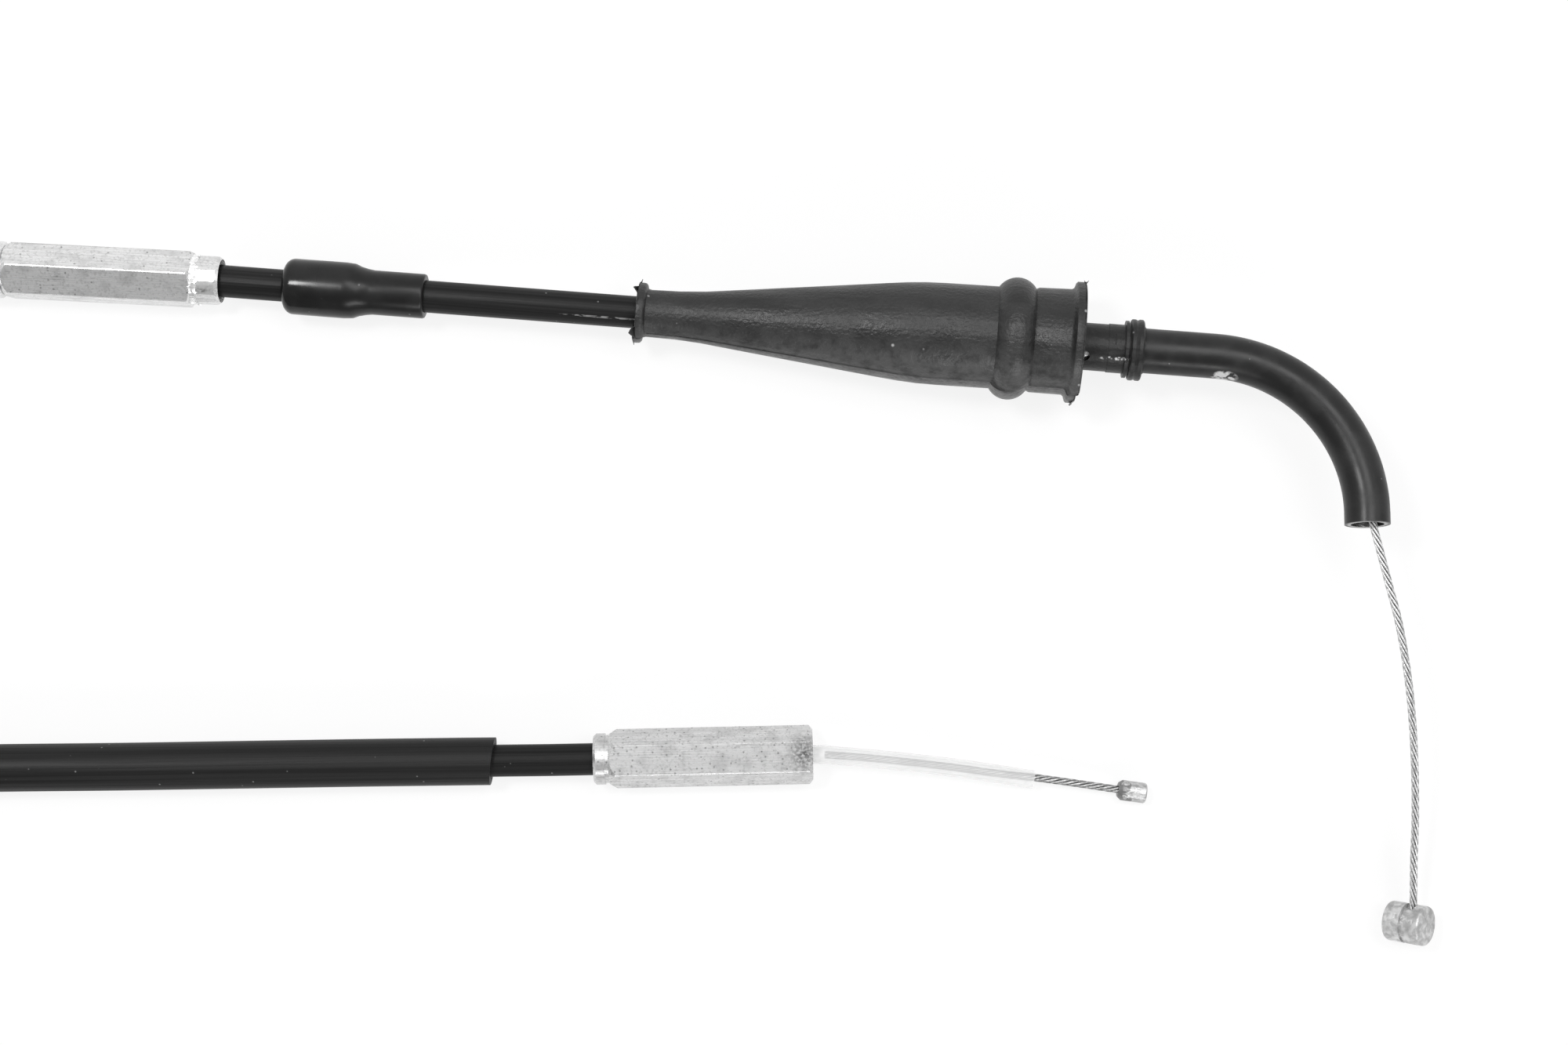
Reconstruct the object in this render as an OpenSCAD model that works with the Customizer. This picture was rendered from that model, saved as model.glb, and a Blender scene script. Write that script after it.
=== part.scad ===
// Throttle control cable: screw adjuster, dust cap, boot and bent guide pipe at one end,
// hexagon end sleeve, clear liner and crimped wire end at the other, lying flat in millimetres.
// +X runs along both straight stretches, +Y across them, +Z up, and z = 0 is the surface.

/* [Cable] */
// Outer diameter of the bare conduit
conduit_d = 5; // [4.6:0.1:5.2]
// Outer diameter of the black over-sleeve
over_d = 7.4; // [7:0.1:7.8]
// Outer diameter of the clear liner
liner_d = 2.9; // [2.8:0.1:3.2]
// Diameter of the inner wire
wire_d = 1.2; // [1:0.1:1.2]
// Conduit between the adjuster's mouth and the moulded guide
upper_l = 122; // [110:1:140]
// Radius of the outermost turn of the coil, to the middle of the cable
coil_r = 48; // [47:0.5:52]

/* [Adjuster] */
// Width across the flats of both hexagon sleeves and of the lock nut
hex_af = 8; // [7.8:0.1:9]
// Length of the adjuster sleeve with its collar
adjuster_l = 33.6; // [30:0.5:36]
// Outer diameter of the crimped collar
collar_d = 7.55; // [7.3:0.05:7.7]
// Thread diameter of the adjuster bolt
thread_d = 6; // [5.8:0.1:6.1]
// Bolt thread from the lock nut's outer face to the cup
spare_thread_l = 7.9; // [6:0.1:10]
// Thickness of the lock nut
nut_l = 4.4; // [3.6:0.1:5]
// Outer diameter of the bolt's cup
cup_d = 7.6; // [7.4:0.1:8.4]
// Length of the bolt's cup
cup_l = 19; // [16:0.5:20]

/* [Dust cap] */
// Distance from the adjuster's mouth to the cap
cap_gap = 10; // [6:0.5:14]
// Length of the cap
cap_l = 22; // [20:0.5:24]
// Outer diameter of the cap's wide end
cap_d = 8.7; // [8.6:0.1:9.4]

/* [Boot] */
// Length of the boot
boot_l = 69.1; // [62:0.1:74]
// Outer diameter of the boot's body
boot_d = 15.7; // [15:0.1:16.4]
// Outer diameter of the bead round the boot
bead_d = 18.8; // [18:0.1:19]
// Outer diameter of the flange at the boot's mouth
flange_d = 18.6; // [17.6:0.1:19]

/* [Guide] */
// Outer diameter of the moulded guide
guide_d = 7.3; // [7.1:0.1:7.9]
// Outer diameter of the guide's seat ring
seat_d = 9.4; // [9:0.1:10]
// Length of the moulded guide
guide_l = 21.3; // [20:0.1:24]
// Outer diameter of the bent pipe inside its cover
pipe_d = 6; // [5.9:0.05:6.1]
// Outer diameter of the pipe's black cover
cover_d = 6.9; // [6.7:0.05:7.2]
// Bend radius of the pipe
elbow_r = 24.4; // [24:0.1:27]
// Straight pipe between the guide and the bend
elbow_lead = 10.9; // [9:0.1:13]

/* [Wire ends] */
// Diameter of the barrel end
barrel_d = 6.2; // [6:0.1:6.4]
// Length of the barrel end
barrel_l = 6.3; // [6:0.1:7]
// Diameter of the small crimped end
crimp_d = 3.2; // [3:0.1:3.4]
// Length of the small crimped end
crimp_l = 4.5; // [4:0.1:5]
// Length of the end sleeve with its collar
end_sleeve_l = 34.1; // [32:0.1:34.4]

/* [Hidden] */
$fn = 64;

// Colours
BLACK = [0.13, 0.13, 0.14];
RUBBER = [0.3, 0.3, 0.31];
PLATED = [0.74, 0.73, 0.7];
ZINC = [0.6, 0.6, 0.6];
WIRE = [0.55, 0.53, 0.5];
CLEAR = [0.86, 0.86, 0.84];

// Frames. The adjuster's mouth is where the adjuster's line and the run's line meet.
mouth = [-62, 47.7, 4.6];
adjuster_yaw = -2.93;
run_yaw = -4.5;
run_rise = 2.29;
end_mouth = [-4.1, -26.8, 4];
end_yaw = 1.25;

// Clearances, and the small laps and steps where round pieces of one node join
running = 0.1;
slip = 0.06;
joint_lap = 0.05;
bend_step = 0.02;

// Adjuster, along its own line with x = 0 at the mouth
adjuster_roll = -6.4;
sleeve_collar_l = 4.3;
ferrule_d = thread_d + 0.4;
pocket_d = ferrule_d + 2 * running;
pocket_x = -11;
nut_x = -adjuster_l - 0.05 - nut_l;
cup_x = nut_x - spare_thread_l;
bolt_x = cup_x - cup_l;
core_hole_d = 2.4;

// Run, along its own line with x = 0 at the mouth
cap_bore_d = collar_d + 0.35;
cap_lip_r = 1.5;
cap_lip_t = 0.8;
guide_x = upper_l;
guide_end = guide_x + guide_l;
boot_end = guide_x + 11.7;
boot_x = boot_end - boot_l;
guide_ferrule_x = guide_x + 8;
pipe_x = guide_x + 14.5;
pipe_bore_d = pipe_d - 1;
elbow_angle = 85.5;
elbow_rise = 9;
elbow_tip = 1.8;
bend_x = guide_end + elbow_lead;
seat_x = guide_end - 0.3;

// Coil, set so that its outermost turn meets the cable coming in at entry_y
entry_y = 52.1;
coil_c = [-164.5, entry_y - coil_r];
coil_z = 4.8;
tie_t = 0.9;
tie_w = 3.6;
tie_angles = [155, 196];
coil_in = coil_r - 2.5 * over_d;
coil_out = coil_r + over_d / 2;
exit_y = coil_c.y - (coil_r - 2 * over_d);

// End sleeve, along its own line with x = 0 at the collar's face
end_collar_l = 2.4;
end_pocket_x = 1.6;
end_pocket_l = 10.4;

// Routes. The first and last stretches are joined to the parts that hold them.
function turn_z(a, v) = [v.x * cos(a) - v.y * sin(a), v.x * sin(a) + v.y * cos(a), v.z];
function turn_y(a, v) = [v.x * cos(a) + v.z * sin(a), v.y, v.z * cos(a) - v.x * sin(a)];
function on_adjuster(x) = mouth + turn_z(adjuster_yaw, [x, 0, 0]);
function on_run(v) = mouth + turn_z(run_yaw, turn_y(-run_rise, v));
function on_end(x) = end_mouth + turn_z(end_yaw, [x, 0, 0]);

lead_route = [on_adjuster(bolt_x + 8), on_adjuster(bolt_x + 1), on_adjuster(bolt_x - 2),
    [-133, 51.35, 4.7], [-136.5, 51.55, 4.8]];
sleeve_in_route = [[-135.5, 51.5, 4.8], [-146, entry_y - 0.1, 4.8], [-156, entry_y, 4.8],
    [coil_c.x, entry_y, coil_z]];
sleeve_out_route = [[coil_c.x, exit_y, 7.3], [-156.5, exit_y, 9.8], [-148.5, -29, 12.1],
    [-139.5, -28.9, 12.5], [-130.5, -28.7, 12.2], [-121.5, -28.6, 9.8], [-112.5, -28.5, 6.5],
    [-104.5, -28.3, 4.4], [-96.5, -28.2, over_d / 2], [-78, -28, over_d / 2],
    [-59, -27.7, over_d / 2], [-40, -27.4, over_d / 2], [-21, -27.15, over_d / 2]];
tail_route = [[-23, -27.15, 3.7], [-18, -27.05, 3.75], [-11, -26.95, 3.9], on_end(-1), on_end(4),
    on_end(10)];

// Liner and wire, along the end sleeve's line
liner_route = [[10.2, 0.1, 0], [14, 0.2, 0], [20, 0.45, 0], [27, 0.4, -0.1], [34, 0, -0.3],
    [40, -0.55, -0.5], [46, -1.25, -0.7], [52, -2.05, -0.9], [58, -2.95, -1.15], [64, -4, -1.4],
    [68.5, -4.85, -1.6]];
carb_wire_route = [[57, -2.8, -1.1], [63, -3.75, -1.35], [68.5, -4.5, -1.6], [75, -5.55, -1.85],
    [81.6, -6.7, -2.15], [84, -7.1, -2.25]];

// Throttle wire, from the point where it leaves the pipe, along the model's own axes
wire_exit = on_run([bend_x + elbow_r * sin(elbow_angle), 0, 0]
    + (elbow_r * (1 - cos(elbow_angle)) + elbow_tip) * [0, -cos(elbow_rise), sin(elbow_rise)]
    + [1.3, -0.2, -1.2]);
throttle_route = [[-3.58, 13.54, 0], [-1.79, 6.77, 0], [0, 0, 0], [2.2, -8.2, -0.2],
    [4.1, -15.2, -0.7], [5.9, -24.9, -1.9], [7, -34.6, -3.5], [7.7, -44.4, -5.7],
    [7.9, -51.9, -7.5], [8.1, -57, -8.6], [8.2, -61, -9.3]];
barrel_c = [7.6, -61.8, -9.8];
barrel_tilt = 40;
barrel_yaw = -5;
wire_seat = 0.8;
groove_w = 0.5;
notch_w = 1.45;
notch_t = 0.7;

// Geometry helpers
function unit(v) = v / norm(v);
function heading(p, i) = unit(p[min(i + 1, len(p) - 1)] - p[max(i - 1, 0)]);
function ring(p, i, r, n) = let (t = heading(p, i), u = unit(cross(t, [0, 0, 1])), v = cross(u, t))
    [for (k = [0 : n - 1]) p[i] + r * (cos(360 * k / n) * u + sin(360 * k / n) * v)];

// One closed tube of n sides swept along the points p
module sweep(p, r, n) {
    last = len(p) - 1;
    corners = [for (i = [0 : last]) each ring(p, i, r, n)];
    sides = [for (i = [0 : last - 1]) for (k = [0 : n - 1])
        let (a = i * n + k, b = i * n + (k + 1) % n) each [[a, b, b + n], [a, b + n, a + n]]];
    start = [for (k = [n - 1 : -1 : 0]) k];
    end = [for (k = [0 : n - 1]) last * n + k];
    polyhedron(corners, concat([start], sides, [end]));
}

// Solid of revolution about +X from an outline of [x, radius] points
module turned(outline) {
    rotate([0, 90, 0]) rotate([0, 0, 90])
        rotate_extrude() polygon([for (q = outline) [q.y, q.x]]);
}

// Round bar about +X
module bar(x0, x1, d) {
    translate([x0, 0, 0]) rotate([0, 90, 0]) cylinder(d = d, h = x1 - x0);
}

// Hexagon bar about +X, a corner up, its own corners turned off at both ends
module hex_bar(x0, x1, af, chamfer_0, chamfer_1) {
    corner = af / 2 / cos(30);
    face = af / 2 - 0.1;
    intersection() {
        translate([x0, 0, 0]) rotate([0, 90, 0]) cylinder(r = corner, h = x1 - x0, $fn = 6);
        turned([[x0, 0], [x0, face], [x0 + chamfer_0, corner + 0.02],
            [x1 - chamfer_1, corner + 0.02], [x1, face], [x1, 0]]);
    }
}

module on_adjuster_line() {
    translate(mouth) rotate([0, 0, adjuster_yaw]) children();
}

module on_run_line() {
    translate(mouth) rotate([0, -run_rise, run_yaw]) children();
}

module on_end_line() {
    translate(end_mouth) rotate([0, 0, end_yaw]) children();
}

// Adjuster
module adjuster_sleeve() {
    lip_d = conduit_d + 0.7;
    color(PLATED) on_adjuster_line() rotate([adjuster_roll, 0, 0]) difference() {
        union() {
            hex_bar(-adjuster_l, -sleeve_collar_l, hex_af, 1.1, 0.5);
            intersection() {
                turned([[-sleeve_collar_l - 1, 0], [-sleeve_collar_l - 1, collar_d / 2],
                    [-0.5, collar_d / 2], [0, collar_d / 2 - 0.35], [0, 0]]);
                rotate([30, 0, 0]) rotate([0, -90, 0])
                    cylinder(d = (collar_d - 0.2) / cos(30), h = 20, $fn = 6);
            }
        }
        turned([[-adjuster_l - 1, 0], [-adjuster_l - 1, thread_d / 2 + 0.6],
            [-adjuster_l, thread_d / 2 + 0.5], [-adjuster_l + 0.5, thread_d / 2],
            [pocket_x, thread_d / 2], [pocket_x, pocket_d / 2], [-5, pocket_d / 2],
            [-5, lip_d / 2], [-4.2, lip_d / 2], [0, 3.35], [1, 3.35], [1, 0]]);
    }
}

module adjuster_ferrule() {
    color(PLATED) on_adjuster_line() difference() {
        turned([[pocket_x + running, 0], [pocket_x + running, ferrule_d / 2 - 0.2],
            [pocket_x + 0.4, ferrule_d / 2], [-5.3, ferrule_d / 2],
            [-5 - running, ferrule_d / 2 - 0.2], [-5 - running, 0]]);
        bar(pocket_x + 1, 0, conduit_d);
        bar(pocket_x - 1, 0, core_hole_d);
    }
}

module lock_nut() {
    color(PLATED) on_adjuster_line() difference() {
        intersection() {
            rotate([30, 0, 0]) hex_bar(nut_x, nut_x + nut_l, hex_af, 0.4, 0.4);
            bar(nut_x - 1, nut_x + nut_l + 1, hex_af + 0.8);
        }
        bar(nut_x - 1, nut_x + nut_l + 1, thread_d);
    }
}

module adjuster_bolt() {
    shank = thread_d / 2 - running / 2;
    color(PLATED) on_adjuster_line() difference() {
        turned([[bolt_x, 0], [bolt_x, cup_d / 2 - 0.4], [bolt_x + 0.4, cup_d / 2],
            [cup_x - 0.8, cup_d / 2], [cup_x, shank], [pocket_x - 1.8, shank],
            [pocket_x - 1, shank - 0.7], [pocket_x - 1, 0]]);
        bar(bolt_x - 1, bolt_x + 10.5, ferrule_d - 0.2);
        bar(bolt_x, 0, core_hole_d + 0.2);
    }
}

module lead_ferrule() {
    color(PLATED) on_adjuster_line() difference() {
        bar(bolt_x + 0.5, bolt_x + 10.5, ferrule_d - 0.2);
        bar(bolt_x, bolt_x + 8, conduit_d);
        bar(bolt_x, bolt_x + 11, core_hole_d);
    }
}

// Cable between the adjuster and the end sleeve
module conduit_lead() {
    color(BLACK) sweep(lead_route, conduit_d / 2, 12);
}

module sleeve_in() {
    color(BLACK) sweep(sleeve_in_route, over_d / 2, 12);
}

module coil_ring(grow, sector) {
    edge = 1.5;
    w = coil_out - coil_in - 2 * edge;
    translate([coil_c.x, coil_c.y, coil_z]) rotate_extrude(angle = sector, $fn = 180)
        translate([(coil_in + coil_out) / 2, 0]) hull() for (x = [-1, 1]) for (y = [-1, 1])
            translate([x * w / 2, y * (over_d / 2 - edge)]) circle(r = edge + grow, $fn = 24);
}

module cable_coil() {
    color(BLACK) coil_ring(0, 360);
}

module coil_tie(angle) {
    sector = tie_w / coil_r * 180 / PI;
    turn = angle - sector / 2;
    color(BLACK) translate([coil_c.x, coil_c.y, 0]) rotate([0, 0, turn])
        translate([-coil_c.x, -coil_c.y, 0]) difference() {
            coil_ring(tie_t, sector);
            coil_ring(0, 360);
        }
}

module coil_tie_a() {
    coil_tie(tie_angles[0]);
}

module coil_tie_b() {
    coil_tie(tie_angles[1]);
}

module sleeve_out() {
    color(BLACK) sweep(sleeve_out_route, over_d / 2, 12);
}

module conduit_tail() {
    color(BLACK) sweep(tail_route, conduit_d / 2, 12);
}

// End sleeve
module end_sleeve() {
    lip_d = conduit_d + 0.7;
    pocket_end = end_pocket_x + end_pocket_l;
    color(PLATED) on_end_line() difference() {
        union() {
            turned([[0, 0], [0, hex_af / 2 - 0.4], [0.4, hex_af / 2], [1.8, hex_af / 2],
                [1.8, hex_af / 2 - 0.25], [3.4, hex_af / 2 - 0.25], [3.4, 0]]);
            rotate([30, 0, 0]) hex_bar(end_collar_l, end_sleeve_l, hex_af, 1.2, 0.6);
        }
        turned([[-1, 0], [-1, lip_d / 2], [end_pocket_x, lip_d / 2],
            [end_pocket_x, pocket_d / 2], [pocket_end, pocket_d / 2],
            [pocket_end, thread_d / 2], [end_sleeve_l - 0.5, thread_d / 2],
            [end_sleeve_l, thread_d / 2 + 0.4], [end_sleeve_l + 1, thread_d / 2 + 0.4],
            [end_sleeve_l + 1, 0]]);
    }
}

module end_ferrule() {
    front = end_pocket_x + end_pocket_l - running;
    color(PLATED) on_end_line() difference() {
        bar(end_pocket_x + running, front, ferrule_d);
        bar(0, front - 1.8, conduit_d);
        bar(0, front + 1, liner_d + 0.5);
    }
}

module liner() {
    color(CLEAR) on_end_line() difference() {
        sweep(liner_route, liner_d / 2, 12);
        sweep([for (i = [0 : len(liner_route) - 1])
            liner_route[i] + (i == 0 ? [-1, 0, 0] : i == len(liner_route) - 1 ? [1, -0.19, 0]
            : [0, 0, 0])], liner_d / 2 - 0.31, 12);
    }
}

module carb_wire() {
    color(WIRE) on_end_line() sweep(carb_wire_route, wire_d / 2, 8);
}

module carb_end() {
    tip = carb_wire_route[len(carb_wire_route) - 1];
    half = crimp_l / 2;
    r = crimp_d / 2;
    color(PLATED) on_end_line() translate(tip) rotate([0, 2.4, -9.6]) difference() {
        turned([[-half, 0], [-half, r - 0.45], [-half + 0.6, r], [half - 0.3, r],
            [half - 0.1, r - 0.15], [half, r - 0.5], [half, 0]]);
        bar(-half - 1, 0, wire_d);
    }
}

// Cable between the adjuster and the guide. It kinks slightly at the adjuster's mouth, so the
// piece in the adjuster is a shade thinner and ends inside the other.
module conduit_upper() {
    color(BLACK) {
        on_adjuster_line() bar(pocket_x + 1.1, 3 * joint_lap, conduit_d - 0.08);
        on_run_line() bar(-3 * joint_lap, guide_ferrule_x + 4.5, conduit_d);
    }
}

// Rubber cap: its wide end rolls in to a lip that nearly closes on the conduit
module dust_cap() {
    end = cap_gap + cap_l;
    shoulder = end - 11.5;
    throat = conduit_d / 2 + slip;
    mouth_r = cap_d / 2 - cap_lip_r;
    lip = [for (t = [0 : 15 : 90])
        [cap_gap + cap_lip_r * (1 - cos(t)), mouth_r + cap_lip_r * sin(t)]];
    color(RUBBER) on_run_line() difference() {
        turned(concat([[cap_gap, 0]], lip, [[shoulder, cap_d / 2],
            [shoulder + 1.2, cap_d / 2 - 0.25], [shoulder + 2.6, conduit_d / 2 + 1.1],
            [shoulder + 3.6, conduit_d / 2 + 0.95], [end - 0.3, conduit_d / 2 + 0.95],
            [end, conduit_d / 2 + 0.75], [end, 0]]));
        turned([[cap_gap - 1, 0], [cap_gap - 1, mouth_r], [cap_gap + cap_lip_t, mouth_r],
            [cap_gap + cap_lip_r, cap_bore_d / 2], [shoulder, cap_bore_d / 2],
            [shoulder + 2.4, throat], [end + 1, throat], [end + 1, 0]]);
    }
}

// Points of the bead's arc from one foot to the other
function bead_arc(x, base, top, half, steps) =
    let (h = top - base, r = (half * half + h * h) / (2 * h), a = asin(half / r))
    [for (i = [0 : steps]) let (t = -a + 2 * a * i / steps) [x + r * sin(t), top - r + r * cos(t)]];

module boot() {
    r = boot_d / 2;
    neck = conduit_d / 2 + 1.15;
    throat = conduit_d / 2 + slip;
    knee_x = boot_x + 10.9;
    full_x = boot_end - 24.4;
    color(RUBBER) on_run_line() difference() {
        turned(concat(
            [[boot_x, 0], [boot_x, neck + 0.8], [boot_x + 0.2, neck + 0.95],
                [boot_x + 1.2, neck + 0.95], [boot_x + 1.4, neck + 0.8], [boot_x + 2.2, neck],
                [knee_x - 4, neck + 0.08], [knee_x, neck + 0.35], [knee_x + 4, neck + 0.8],
                [full_x - 3, r - 0.25], [full_x, r - 0.05], [full_x + 3, r]],
            bead_arc(boot_end - 10.4, r, bead_d / 2, 2.85, 12),
            [[boot_end - 7, r + 0.15], [boot_end - 2, r + 0.2], [boot_end - 1.7, r + 0.5],
                [boot_end - 1.5, flange_d / 2 - 0.2], [boot_end - 1.3, flange_d / 2],
                [boot_end, flange_d / 2], [boot_end, 0]]));
        turned([[boot_x - 1, 0], [boot_x - 1, throat], [knee_x + 1, throat],
            [full_x, r - 1.55], [boot_end - 13, r - 1.5], [boot_end - 10.4, r - 1.1],
            [boot_end - 8, r - 1.5], [boot_end - 0.4, r - 1.5], [boot_end + 1, r - 0.4],
            [boot_end + 1, 0]]);
    }
}

// Guide and bent pipe
module guide_body() {
    r = guide_d / 2;
    s = seat_d / 2;
    window_x = boot_end + 0.35;
    color(BLACK) on_run_line() difference() {
        turned([[guide_x, 0], [guide_x, r - 0.35], [guide_x + 0.4, r], [guide_x + 15.7, r],
            [guide_x + 15.7, r + 0.1], [seat_x - 2.8, r + 0.1], [seat_x - 2.8, s - 0.3],
            [seat_x - 2.3, s - 0.3], [seat_x - 2.3, r + 0.3], [seat_x - 2, r + 0.3],
            [seat_x - 2, s - 0.2], [seat_x - 1.8, s], [seat_x - 1.3, s], [seat_x - 1, s - 0.15],
            [seat_x - 0.7, s], [seat_x - 0.2, s], [seat_x, s - 0.2], [seat_x, r - 0.05],
            [guide_end, r - 0.05], [guide_end, 0]]);
        bar(guide_x - 1, guide_end + 1, pipe_d);
        translate([window_x, 0, 0]) rotate([28, 0, 0]) cylinder(r = 0.85, h = r + 1);
        translate([guide_x + 16.6, 0, 0]) rotate([-18, 0, 0]) translate([0, -0.9, r - 0.1])
            cube([0.15, 1.8, 1]);
    }
}

module guide_ferrule() {
    color(PLATED) on_run_line() difference() {
        bar(guide_ferrule_x, guide_ferrule_x + 6, pipe_d);
        bar(guide_ferrule_x - 1, guide_ferrule_x + 4.5, conduit_d);
        bar(guide_ferrule_x, guide_ferrule_x + 7, core_hole_d);
    }
}

// Solid rod along the bent pipe's line from x0, reaching past the tip by extra. The bend differs
// from the straight ends by a hair's step, so the three meet in plain rings.
module bent_rod(x0, d, step, extra) {
    bar(x0, bend_x + joint_lap, d);
    translate([bend_x, 0, 0]) rotate([-elbow_rise, 0, 0]) {
        translate([0, -elbow_r, 0]) rotate([0, 0, 90 - elbow_angle])
            rotate_extrude(angle = elbow_angle, $fn = 160) translate([elbow_r, 0])
                circle(d = d + step, $fn = 48);
        translate([elbow_r * sin(elbow_angle), -elbow_r * (1 - cos(elbow_angle)), 0])
            rotate([0, 0, -elbow_angle]) bar(-joint_lap, elbow_tip + extra, d);
    }
}

module elbow_pipe() {
    color(PLATED) on_run_line() difference() {
        bent_rod(pipe_x, pipe_d, -bend_step, 0);
        bent_rod(pipe_x - 1, pipe_bore_d, bend_step, 1);
    }
}

module elbow_cover() {
    color(BLACK) on_run_line() difference() {
        bent_rod(guide_end, cover_d, -bend_step, 0);
        bent_rod(guide_end - 1, pipe_d, bend_step, 1);
    }
}

// Throttle wire and its barrel end
module throttle_wire() {
    color(WIRE) translate(wire_exit) sweep(throttle_route, wire_d / 2, 8);
}

// Cast barrel: a groove round its middle opens into a wedge-shaped notch below the wire's hole
module barrel_end() {
    half = barrel_l / 2;
    r = barrel_d / 2;
    g0 = -groove_w * 0.6;
    g1 = groove_w * 0.4;
    color(ZINC) translate(wire_exit + barrel_c) rotate([0, -barrel_tilt, barrel_yaw]) difference() {
        turned([[-half, 0], [-half, r - 0.4], [-half + 0.12, r - 0.12], [-half + 0.4, r],
            [g0, r], [g0, r - 0.3], [g1, r - 0.3], [g1, r], [half - 0.4, r],
            [half - 0.12, r - 0.12], [half, r - 0.4], [half, 0]]);
        translate([wire_seat, 0, 0]) rotate([-90, 0, 0]) cylinder(d = wire_d + 0.1, h = r + 1);
        difference() {
            linear_extrude(r + 1) polygon([[g0, 0], [g1, 0], [notch_w, r - 0.5], [notch_w, r + 1],
                [g0, r + 1]]);
            bar(g0 - 1, notch_w + 1, barrel_d - 2 * notch_t);
        }
    }
}

adjuster_sleeve();
adjuster_ferrule();
lock_nut();
adjuster_bolt();
lead_ferrule();
conduit_lead();
sleeve_in();
cable_coil();
coil_tie_a();
coil_tie_b();
sleeve_out();
conduit_tail();
end_sleeve();
end_ferrule();
liner();
carb_wire();
carb_end();
conduit_upper();
dust_cap();
boot();
guide_body();
guide_ferrule();
elbow_pipe();
elbow_cover();
throttle_wire();
barrel_end();
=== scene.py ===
import math

import bmesh
import bpy
from mathutils import Matrix, Vector, noise


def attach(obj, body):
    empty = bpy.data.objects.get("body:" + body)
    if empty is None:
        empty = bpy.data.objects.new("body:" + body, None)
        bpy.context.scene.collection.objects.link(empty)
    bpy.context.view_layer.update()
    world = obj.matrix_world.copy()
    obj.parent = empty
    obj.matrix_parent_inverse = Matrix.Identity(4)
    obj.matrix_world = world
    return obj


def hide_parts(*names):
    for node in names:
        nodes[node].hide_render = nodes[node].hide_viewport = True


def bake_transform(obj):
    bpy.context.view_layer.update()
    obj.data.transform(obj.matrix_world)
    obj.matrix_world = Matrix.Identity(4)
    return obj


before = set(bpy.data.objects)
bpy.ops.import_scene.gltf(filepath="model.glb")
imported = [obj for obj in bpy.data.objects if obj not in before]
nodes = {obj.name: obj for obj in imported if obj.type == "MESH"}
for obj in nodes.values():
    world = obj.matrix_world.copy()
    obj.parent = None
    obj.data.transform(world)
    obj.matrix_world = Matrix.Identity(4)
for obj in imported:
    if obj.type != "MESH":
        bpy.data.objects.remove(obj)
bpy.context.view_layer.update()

# ---- Camera, floor and light ----
# The cable lies on a white table in a pale tent, under a camera that looks straight down. A soft
# lamp stands over its left end, a long one behind it, a low one in front and a weak one to the
# right.
MM = 0.001
CAMERA_PLACE = (25.5, 10.1, 415)
CAMERA_LENS = 60.516
FLOOR_SIZE = 4.0
FLOOR_GREY = 0.93
FLOOR_GLOW = 0.82
WORLD_LIGHT = 0.42
TENT_FRONT = 0.38
TENT_BACK = 1.0
TENT_SPAN = (-0.6, 0.4)

scene = bpy.context.scene
scene.view_settings.view_transform = "Standard"


def mm(*point):
    """A point given in millimetres, as a vector in metres."""
    return Vector(point) * MM


def show(name, data):
    """A new object in the scene for a mesh, lamp or camera."""
    thing = bpy.data.objects.new(name, data)
    scene.collection.objects.link(thing)
    return thing


def add(tree, kind, inputs=None, **settings):
    """A shader node with its settings, and its inputs set to values or linked to sockets."""
    node = tree.nodes.new("ShaderNode" + kind)
    for name, value in settings.items():
        setattr(node, name, value)
    for name, value in (inputs or {}).items():
        if isinstance(value, bpy.types.NodeSocket):
            tree.links.new(value, node.inputs[name])
        else:
            node.inputs[name].default_value = value
    return node


def add_math(tree, operation, a, b=0.0):
    """The sum, product or other result of two numbers or sockets."""
    return add(tree, "Math", {0: a, 1: b}, operation=operation).outputs[0]


def add_mix(tree, share, below, above):
    """A number between two others or sockets, by its share of the second."""
    return add(tree, "Mix", {0: share, 2: below, 3: above}, data_type="FLOAT").outputs[0]


camera = show("camera", bpy.data.cameras.new("camera"))
camera.location = mm(*CAMERA_PLACE)
camera.data.lens = CAMERA_LENS
camera.data.sensor_width = 36
scene.camera = camera

floor_mesh = bmesh.new()
bmesh.ops.create_grid(floor_mesh, x_segments=1, y_segments=1, size=FLOOR_SIZE / 2)
floor_data = bpy.data.meshes.new("floor")
floor_mesh.to_mesh(floor_data)
floor_mesh.free()
floor = show("floor", floor_data)

floor_paper = bpy.data.materials.new("white_paper")
floor_paper.use_nodes = True
paper_tree = floor_paper.node_tree
paper_tree.nodes.clear()
matte = add(paper_tree, "BsdfDiffuse", {"Color": (FLOOR_GREY, FLOOR_GREY, FLOOR_GREY, 1)})
glow = add(paper_tree, "Emission", {"Color": (1, 1, 1, 1), "Strength": 1.0})
paper_rays = add(paper_tree, "LightPath").outputs
direct = add_math(paper_tree, "MAXIMUM", paper_rays["Is Camera Ray"],
                  paper_rays["Is Transmission Ray"])
seen_white = add_math(paper_tree, "MAXIMUM", direct, paper_rays["Is Glossy Ray"])
glow_share = add_math(paper_tree, "MULTIPLY", seen_white, FLOOR_GLOW)
paper = add(paper_tree, "MixShader", {0: glow_share, 1: matte.outputs[0], 2: glow.outputs[0]})
add(paper_tree, "OutputMaterial", {"Surface": paper.outputs[0]})
floor_data.materials.append(floor_paper)

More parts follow.
